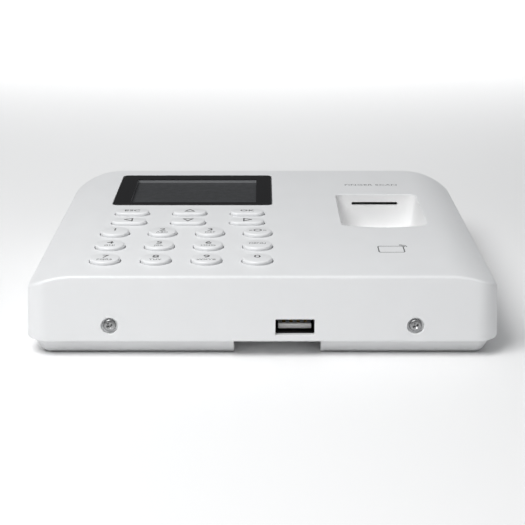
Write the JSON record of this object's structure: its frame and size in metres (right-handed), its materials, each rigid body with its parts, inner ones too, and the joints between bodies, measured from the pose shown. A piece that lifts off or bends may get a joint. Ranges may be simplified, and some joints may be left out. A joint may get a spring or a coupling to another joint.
{
  "type": "fingerprint scanner terminal",
  "caption": "Low white desk or wall terminal with a display, a keypad, a sloped finger scoop with a reader glass, a data socket and a tapered wall plate.",
  "frame": {"origin": "middle of the footprint, on the surface that the wall plate's back lies on", "axes": "+Z out of the face with the keys, +Y towards the display's edge, -Y towards the edge with the data socket, +X towards the finger scoop"},
  "size_m": [0.1572, 0.1494, 0.0293],
  "materials": {
    "white_plastic": "fine satin moulded shell",
    "plinth_plastic": "satin moulded plate",
    "key_plastic": "smooth moulded keys",
    "lens_glass": "printed black clear panel",
    "screen": "unlit display",
    "clear_sheet": "light guide",
    "sensor_glass": "dark reader glass",
    "grey_rubber": "silicone sheet",
    "board": "lacquered circuit board",
    "black_plastic": "moulded black",
    "socket_plastic": "moulded contact carrier",
    "steel": "plated steel",
    "ribbon_film": "flat cable film"
  },
  "bodies": {
    "terminal": {"front_cover": "white_plastic", "rear_cover": "white_plastic", "wall_plate": "plinth_plastic", "display_lens": "lens_glass", "lcd_frame": "steel", "lcd_panel": "screen", "backlight": "clear_sheet", "keypad_membrane": "grey_rubber", "keypad_board": "board", "sensor_glass": "sensor_glass", "sensor_housing": "black_plastic", "sensor_board": "board", "detect_window": "sensor_glass", "usb_shell": "steel", "usb_tongue": "socket_plastic", "usb_board": "board", "main_board": "board", "processor": "black_plastic", "speaker": "black_plastic", "cell_holder": "black_plastic", "coin_cell": "steel", "antenna_board": "board", "network_jack": "steel", "dc_jack": "black_plastic", "display_ribbon": "ribbon_film", "keypad_ribbon": "ribbon_film", "sensor_ribbon": "ribbon_film", "tamper_switch": "black_plastic", "front_screw_left": "steel", "front_screw_right": "steel", "rear_screw_1": "steel", "rear_screw_2": "steel", "rear_screw_3": "steel", "rear_screw_4": "steel"},
    "key_esc": {"key_esc": "key_plastic"},
    "key_up": {"key_up": "key_plastic"},
    "key_ok": {"key_ok": "key_plastic"},
    "key_left": {"key_left": "key_plastic"},
    "key_down": {"key_down": "key_plastic"},
    "key_right": {"key_right": "key_plastic"},
    "key_1": {"key_1": "key_plastic"},
    "key_2": {"key_2": "key_plastic"},
    "key_3": {"key_3": "key_plastic"},
    "key_4": {"key_4": "key_plastic"},
    "key_5": {"key_5": "key_plastic"},
    "key_6": {"key_6": "key_plastic"},
    "key_7": {"key_7": "key_plastic"},
    "key_8": {"key_8": "key_plastic"},
    "key_9": {"key_9": "key_plastic"},
    "key_0": {"key_0": "key_plastic"},
    "key_back": {"key_back": "key_plastic"},
    "key_menu": {"key_menu": "key_plastic"},
    "tamper_plunger": {"tamper_plunger": "key_plastic"}
  },
  "joints": [
    {"name": "press_esc", "type": "slide", "parent": "terminal", "child": "key_esc", "axis": [0, 0, -1], "range_m": [0, 0.0009], "stiffness_N_per_m": 1500},
    {"name": "press_up", "type": "slide", "parent": "terminal", "child": "key_up", "axis": [0, 0, -1], "range_m": [0, 0.0009], "stiffness_N_per_m": 1500},
    {"name": "press_ok", "type": "slide", "parent": "terminal", "child": "key_ok", "axis": [0, 0, -1], "range_m": [0, 0.0009], "stiffness_N_per_m": 1500},
    {"name": "press_left", "type": "slide", "parent": "terminal", "child": "key_left", "axis": [0, 0, -1], "range_m": [0, 0.0009], "stiffness_N_per_m": 1500},
    {"name": "press_down", "type": "slide", "parent": "terminal", "child": "key_down", "axis": [0, 0, -1], "range_m": [0, 0.0009], "stiffness_N_per_m": 1500},
    {"name": "press_right", "type": "slide", "parent": "terminal", "child": "key_right", "axis": [0, 0, -1], "range_m": [0, 0.0009], "stiffness_N_per_m": 1500},
    {"name": "press_1", "type": "slide", "parent": "terminal", "child": "key_1", "axis": [0, 0, -1], "range_m": [0, 0.0009], "stiffness_N_per_m": 1500},
    {"name": "press_2", "type": "slide", "parent": "terminal", "child": "key_2", "axis": [0, 0, -1], "range_m": [0, 0.0009], "stiffness_N_per_m": 1500},
    {"name": "press_3", "type": "slide", "parent": "terminal", "child": "key_3", "axis": [0, 0, -1], "range_m": [0, 0.0009], "stiffness_N_per_m": 1500},
    {"name": "press_4", "type": "slide", "parent": "terminal", "child": "key_4", "axis": [0, 0, -1], "range_m": [0, 0.0009], "stiffness_N_per_m": 1500},
    {"name": "press_5", "type": "slide", "parent": "terminal", "child": "key_5", "axis": [0, 0, -1], "range_m": [0, 0.0009], "stiffness_N_per_m": 1500},
    {"name": "press_6", "type": "slide", "parent": "terminal", "child": "key_6", "axis": [0, 0, -1], "range_m": [0, 0.0009], "stiffness_N_per_m": 1500},
    {"name": "press_7", "type": "slide", "parent": "terminal", "child": "key_7", "axis": [0, 0, -1], "range_m": [0, 0.0009], "stiffness_N_per_m": 1500},
    {"name": "press_8", "type": "slide", "parent": "terminal", "child": "key_8", "axis": [0, 0, -1], "range_m": [0, 0.0009], "stiffness_N_per_m": 1500},
    {"name": "press_9", "type": "slide", "parent": "terminal", "child": "key_9", "axis": [0, 0, -1], "range_m": [0, 0.0009], "stiffness_N_per_m": 1500},
    {"name": "press_0", "type": "slide", "parent": "terminal", "child": "key_0", "axis": [0, 0, -1], "range_m": [0, 0.0009], "stiffness_N_per_m": 1500},
    {"name": "press_back", "type": "slide", "parent": "terminal", "child": "key_back", "axis": [0, 0, -1], "range_m": [0, 0.0009], "stiffness_N_per_m": 1500},
    {"name": "press_menu", "type": "slide", "parent": "terminal", "child": "key_menu", "axis": [0, 0, -1], "range_m": [0, 0.0009], "stiffness_N_per_m": 1500},
    {"name": "tamper_press", "type": "slide", "parent": "terminal", "child": "tamper_plunger", "axis": [0, 0, 1], "range_m": [0, 0.0009], "stiffness_N_per_m": 400}
  ]
}
